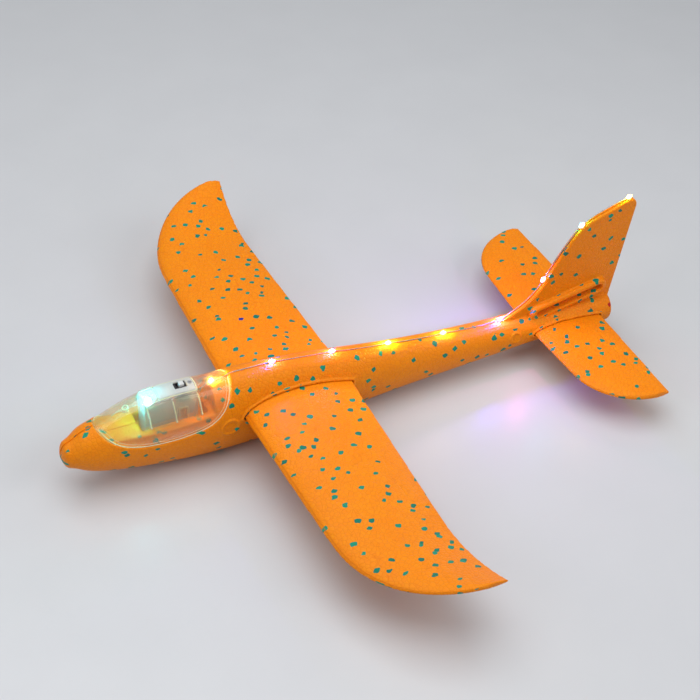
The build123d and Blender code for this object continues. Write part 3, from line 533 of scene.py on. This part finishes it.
def add_chip(name, place, slope, size, material):
    """A lit chip: a small block with rounded edges."""
    shape = bmesh.new()
    bmesh.ops.create_cube(shape, size=1.0)
    bmesh.ops.scale(shape, vec=Vector(size) * MM, verts=shape.verts)
    bmesh.ops.bevel(shape, geom=shape.edges[:], offset=CHIP_EDGE * MM, segments=2, affect="EDGES")
    mesh = bpy.data.meshes.new(name)
    shape.to_mesh(mesh)
    shape.free()
    chip = new_object(name, mesh)
    chip.matrix_world = Matrix.Translation(place) @ Matrix.Rotation(-math.radians(slope), 4, "Y")
    paint(chip, material)
    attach(chip, "airframe")
    return chip


def add_glow(name, place, colour, watts, radius):
    """A small light that spills a bead's colour onto what is round it."""
    data = bpy.data.lights.new(name, "POINT")
    data.color = colour
    data.energy = watts
    data.shadow_soft_size = radius * MM
    lamp = new_object(name, data)
    lamp.location = place
    lamp.visible_camera = False
    lamp.visible_transmission = False
    return lamp


GLOW_LIFT = 3.2              # millimetres between a bead's middle and the light that stands for its spill
SPILL = [0.060, 0.070, 0.055, 0.025, 0.025, 0.150, 0.050, 0.030, 0.025]      # watts, from the nose back
SPILL_RADIUS = 1.2
LAMP_SPILL = 0.030           # the lamp's own spill, in front of it and over it
LAMP_SPILL_PLACE = Vector((7, 0, -3))
CABIN_SPILL = 0.020
CABIN_SPILL_PLACE = Vector((3, 0, 8))
RESIN_GLOW = 1.1
CHIP_GLOW = 6.0
CHIP_SIZE = (1.3, 1.0, 1.0)
CHIP_EDGE = 0.12


def add_lights_of_the_string():
    """The drops of resin, the chips in them and the colour that they spill."""
    for index, colours in enumerate(LIGHT_COLOURS):
        name = "led_bead_%d" % (index + 1)
        slope = BEADS[index][2]
        finish_node(name, resin_material(name + "_resin", colours, RESIN_GLOW))
        chip = add_chip("light_chip_%d" % (index + 1), bead_point(index), slope, CHIP_SIZE,
                        chip_material(name + "_chip", colours, CHIP_GLOW))
        lift = Vector((-math.sin(math.radians(slope)), 0, math.cos(math.radians(slope)))) * GLOW_LIFT * MM
        add_glow("glow_%d" % (index + 1), bead_point(index) + lift, colours[1], SPILL[index], SPILL_RADIUS)


# ---------------------------------------------------------------- painted highlights: pale lines along the moulded edges of the canopy and the box
RIM = [(217.0, 59.5), (203.0, 46.6), (188.0, 41.0), (166.0, 38.8), (146.0, 39.6), (130.0, 43.0),
       (118.0, 53.0), (109.6, 72.5)]                  # the canopy's lower edge in side view
RIM_LINES = ((0.8, 0.28), (3.0, 0.10))                # each line's distance in from that edge, and its radius
RIM_STEPS = 16                                        # samples between two points of the rim
LEG_STATIONS = (137.4, 157.0, 176.2)
LEG_SPAN = (53.2, 66.0)
LEG_STEPS = 9
LEG_LINE = 0.36
LEG_FOOT = 2.0               # how much thicker a rib's foot is
# The latch windows' frames are drawn as pale lines, a painted highlight.
LATCH_X = (145.35, 151.65)   # the bright frame of the latch window in each side of the box
LATCH_Z = (44.05, 56.95)
LATCH_SHARES = (0.0, 0.04, 0.35, 0.65, 0.96)           # where the frame's points lie along each of its sides
LATCH_LINE = 0.24
DECK_BORDER = 0.85           # how far each line lies outside the door or the lamp's lens
DECK_FRONT = 1.2
DOOR_BORDER = 0.55
LENS_BORDER = 0.35
DECK_CORNER = 1.4
DOOR_CORNER = 0.9
LENS_CORNER = 1.9
DECK_LINE = 0.2
CORNER_STEPS = 3
LOOP_STEP = 2.0
LOOP_LIFT = 0.05
# The boss and rib are drawn as pale lines, a painted highlight.
CLIP_X = 190.0               # the boss and the rib inside the canopy's front
CLIP_RADIUS = 2.1
CLIP_STEPS = 12
CLIP_RIB = (192.5, 194.1, 195.7, 197.3, 198.9, 200.5)
CLIP_LINE = 0.4
ROOF_DROP = 1.7              # from the canopy's outer skin down to those lines
FAR = 0.2                    # metres, well outside the body


def surface_of(node):
    """A node's CAD surface, to be probed with straight rays."""
    mesh = frame["nodes"][node].data
    return BVHTree.FromPolygons([vertex.co for vertex in mesh.vertices],
                                [face.vertices for face in mesh.polygons])


def line_piece(name, lines, radius, material, body):
    """Thin moulded lines, each a list of points with its end radii, as one piece."""
    curve = bpy.data.curves.new(name, "CURVE")
    curve.dimensions = "3D"
    curve.bevel_depth = radius * MM
    curve.bevel_resolution = 2
    curve.use_fill_caps = True
    for points, closed, foot in lines:
        spline = curve.splines.new("NURBS")
        spline.points.add(len(points) - 1)
        for index, (point, place) in enumerate(zip(spline.points, points)):
            point.co = (*place, 1.0)
            point.radius = foot if index == 0 else 1.0
        spline.order_u = 3
        spline.use_endpoint_u = not closed
        spline.use_cyclic_u = closed
        spline.resolution_u = 3
    piece = new_object(name, curve)
    paint(piece, material)
    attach(piece, body)
    return piece


def rim_samples():
    """Points and inward directions along the canopy's edge, in side view."""
    rim = np.array(RIM)
    padded = np.vstack((2 * rim[0] - rim[1], rim, 2 * rim[-1] - rim[-2]))
    shares = np.arange(RIM_STEPS) / RIM_STEPS
    samples = []
    for before, start, stop, after in zip(padded, padded[1:], padded[2:], padded[3:]):
        for t in shares:
            samples.append(0.5 * (2 * start + (stop - before) * t
                                  + (2 * before - 5 * start + 4 * stop - after) * t ** 2
                                  + (3 * start - before - 3 * stop + after) * t ** 3))
    samples = np.array(samples)
    along = np.gradient(samples, axis=0)
    along /= np.linalg.norm(along, axis=1)[:, None]
    return samples, np.stack((along[:, 1], -along[:, 0]), axis=1)


def add_canopy_lines(material):
    """The canopy's thickened edge and the second line inside it, and its boss and rib in front, drawn as pale
    lines whose colour is a painted highlight.
    """
    canopy = surface_of("canopy")
    samples, inward = rim_samples()
    for number, (distance, radius) in enumerate(RIM_LINES):
        places = (samples + distance * inward) * MM
        lines = []
        for side in (-1, 1):
            points = []
            for x, z in places:
                hit = canopy.ray_cast(Vector((x, side * FAR, z)), Vector((0, -side, 0)))[0]
                if hit is not None and side * hit.y > 0:
                    points.append(hit)
            lines.append((points, False, 1.0))
        line_piece("canopy_line_%d" % (number + 1), lines, radius, material, "canopy")
    ring = []
    for step in range(CLIP_STEPS):
        turn = 2 * math.pi * step / CLIP_STEPS
        x, y = (CLIP_X + CLIP_RADIUS * math.cos(turn)) * MM, CLIP_RADIUS * math.sin(turn) * MM
        ring.append(under_roof(canopy, x, y))
    rib = [under_roof(canopy, x * MM, 0) for x in CLIP_RIB]
    line_piece("canopy_clip_lines", [(ring, True, 1.0), (rib, False, 1.0)], CLIP_LINE, material, "canopy")


def under_roof(surface, x, y):
    """A point just under the canopy's inner skin."""
    return Vector((x, y, surface.ray_cast(Vector((x, y, FAR)), Vector((0, 0, -1)))[0].z - ROOF_DROP * MM))


def roof_loop(surface, low, high, corner):
    """A rounded rectangle between two corners, laid on a roof."""
    loop = []
    for sx, sy, start in ((1, 1, 0), (-1, 1, 90), (-1, -1, 180), (1, -1, 270)):
        outer_x = high.x if sx > 0 else low.x
        outer_y = high.y if sy > 0 else low.y
        middle = Vector((outer_x - sx * corner, outer_y - sy * corner))
        for step in range(CORNER_STEPS + 1):
            turn = math.radians(start + 90 * step / CORNER_STEPS)
            loop.append(middle + corner * Vector((math.cos(turn), math.sin(turn))))
    points = []
    for near, far in zip(loop, loop[1:] + loop[:1]):
        count = max(1, round((far - near).length / (LOOP_STEP * MM)))
        for step in range(count):
            spot = near.lerp(far, step / count)
            hit = surface.ray_cast(Vector((spot.x, spot.y, FAR)), Vector((0, 0, -1)))[0]
            points.append(Vector((spot.x, spot.y, hit.z + LOOP_LIFT * MM)))
    return points


def side_point(surface, x, z, side):
    """The point of a surface that a level ray meets from one side, at a place in millimetres."""
    return surface.ray_cast(Vector((x * MM, side * FAR, z * MM)), Vector((0, -side, 0)))[0]


def add_box_lines(material):
    """The light box's edges round the deck, the lamp and the latch windows, and down the ribs, drawn as pale
    lines whose colour is a painted highlight.
    """
    box = surface_of("light_box")
    door_low, door_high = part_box("battery_door")
    lens_low, lens_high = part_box("lamp_lens")
    deck = (Vector((door_low.x - DECK_BORDER * MM, door_low.y - DECK_BORDER * MM)),
            Vector((lens_high.x + DECK_FRONT * MM, door_high.y + DECK_BORDER * MM)))
    door_border = Vector((DOOR_BORDER, DOOR_BORDER)) * MM
    lens_border = Vector((LENS_BORDER, LENS_BORDER)) * MM
    loops = [roof_loop(box, *deck, DECK_CORNER * MM),
             roof_loop(box, door_low.xy - door_border, door_high.xy + door_border, DOOR_CORNER * MM),
             roof_loop(box, lens_low.xy - lens_border, lens_high.xy + lens_border, LENS_CORNER * MM)]
    line_piece("box_deck_lines", [(loop, True, 1.0) for loop in loops], DECK_LINE, material, "airframe")
    ribs = []
    for x in LEG_STATIONS:
        for side in (-1, 1):
            points = []
            for z in np.linspace(*LEG_SPAN, LEG_STEPS):
                points.append(side_point(box, x, z, side))
            ribs.append((points, False, LEG_FOOT))
    line_piece("box_rib_lines", ribs, LEG_LINE, material, "airframe")
    frames = []
    corners = [(LATCH_X[0], LATCH_Z[0]), (LATCH_X[1], LATCH_Z[0]), (LATCH_X[1], LATCH_Z[1]),
               (LATCH_X[0], LATCH_Z[1])]
    for side in (-1, 1):
        points = []
        for (x, z), (next_x, next_z) in zip(corners, corners[1:] + corners[:1]):
            for share in LATCH_SHARES:
                points.append(side_point(box, x + share * (next_x - x), z + share * (next_z - z), side))
        frames.append((points, True, 1.0))
    line_piece("box_latch_lines", frames, LATCH_LINE, material, "airframe")


# ---------------------------------------------------------------- studio
# Each softbox's place, the point it faces, its size in metres, its watts and its colour.
SOFTBOXES = (
    ("softbox_top", (0.15, -0.10, 1.25), (0, 0, 0.05), 1.3, 12.0, (1.0, 1.0, 1.0)),
    ("softbox_key", (-0.75, 0.85, 1.0), (0, 0, 0.05), 0.8, 5.5, (1.0, 0.99, 0.97)),
    ("softbox_nose", (1.1, 0.25, 0.75), (0.1, 0, 0.05), 0.6, 2.0, (0.98, 0.99, 1.0)),
)
SURROUND_COLOUR = (0.85, 0.88, 0.92, 1.0)
SURROUND_STRENGTH = 0.34
FLOOR_REACH = 6.0


def add_area(name, place, aim, size, watts, colour):
    """A soft square studio light that faces a point."""
    data = bpy.data.lights.new(name, "AREA")
    data.shape = "SQUARE"
    data.size = size
    data.energy = watts
    data.color = colour
    lamp = new_object(name, data)
    lamp.location = place
    lamp.rotation_euler = (Vector(aim) - Vector(place)).to_track_quat("-Z", "Y").to_euler()


def add_studio():
    """A pale floor with a soft satin sheen, overhead softboxes and a dim even surround."""
    mesh = bpy.data.meshes.new("floor")
    corners = ((-1, -1), (1, -1), (1, 1), (-1, 1))
    mesh.from_pydata([(x * FLOOR_REACH, y * FLOOR_REACH, 0) for x, y in corners], [], [(0, 1, 2, 3)])
    floor = new_object("floor", mesh)
    material, tree, shader = new_material("floor")
    speck = noise_at(tree, object_coords(tree), 60.0, 4.0)["Fac"]
    set_shader(tree, shader, base_color=mix(tree, speck, (0.60, 0.61, 0.63), (0.64, 0.65, 0.67)),
               roughness=0.3)
    paint(floor, material)
    for softbox in SOFTBOXES:
        add_area(*softbox)
    world = bpy.data.worlds.new("surround")
    world.use_nodes = True
    background = world.node_tree.nodes["Background"]
    background.inputs["Color"].default_value = SURROUND_COLOUR
    background.inputs["Strength"].default_value = SURROUND_STRENGTH
    bpy.context.scene.world = world
    bpy.context.scene.view_settings.view_transform = "Standard"


# ---------------------------------------------------------------- making
add_camera()
body_foam = foam_material("orange_foam", False)
wing_foam = foam_material("orange_foam_parted", True)
foam_piece("fuselage_left", 0.64, 3, body_foam)
foam_piece("fuselage_right", 0.64, 3, body_foam)
foam_piece("main_wing", 0.95, 2, wing_foam)
foam_piece("tailplane", 0.8, 2, wing_foam)
finish_node("canopy", canopy_material())
finish_node("light_box", frosted_material("frosted_box", 0.38), 0.2)
finish_node("battery_door", frosted_material("frosted_door", 0.82), 0.2)
# Pale opaque lines laid along the clear canopy's and the box's edges, ribs and boss: their colour is a
# painted highlight.
painted_highlights = moulded_material("painted_highlight_lines", (0.78, 0.78, 0.52), 0.25, 0.6)
add_canopy_lines(painted_highlights)
add_box_lines(painted_highlights)
steel = metal_material("screw_steel", (0.72, 0.72, 0.74), 0.3, (1.0, 6.0, 1.0))
finish_node("battery_door_screw", steel, 0.08)
finish_node("button_cells", metal_material("cell_steel", (0.76, 0.76, 0.78), 0.22, (1.0, 5.0, 5.0)), 0.15)
contact = metal_material("contact_metal", (0.80, 0.77, 0.70), 0.25, (1.0, 1.0, 5.0))
finish_node("cell_spring", contact)
finish_node("cell_contact", contact, 0.05)
board = board_material()
finish_node("circuit_board", board, 0.05)
finish_node("lamp_carrier", board, 0.1)
epoxy = moulded_material("black_epoxy", (0.014, 0.014, 0.015), 0.3, 0.6)
finish_node("flasher_chip", epoxy)
finish_node("resistors", epoxy, 0.05)
plastic = moulded_material("black_plastic", (0.018, 0.018, 0.020), 0.42, 0.25)
finish_node("switch_body", plastic, 0.1)
finish_node("switch_knob", moulded_material("pale_plastic", (0.80, 0.80, 0.78), 0.4, 0.25), 0.1)
finish_node("lamp_lens", resin_material("lamp_lens", CYAN, 0.22))
finish_node("lamp_led", chip_material("lamp_led", CYAN, 3.0))
led_low, led_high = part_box("lamp_led")
lamp_front = Vector((led_high.x, 0, led_high.z))
lamp_top = Vector(((led_low.x + led_high.x) / 2, 0, led_high.z))
add_glow("glow_lamp", lamp_front + LAMP_SPILL_PLACE * MM, CYAN[1], LAMP_SPILL, 2.5)
add_glow("glow_cabin", lamp_top + CABIN_SPILL_PLACE * MM, CYAN[1], CABIN_SPILL, 2.0)
add_lights_of_the_string()
add_wire(metal_material("silver_wire", (0.62, 0.60, 0.58), 0.34, (1.0, 1.0, 1.0)))
add_studio()
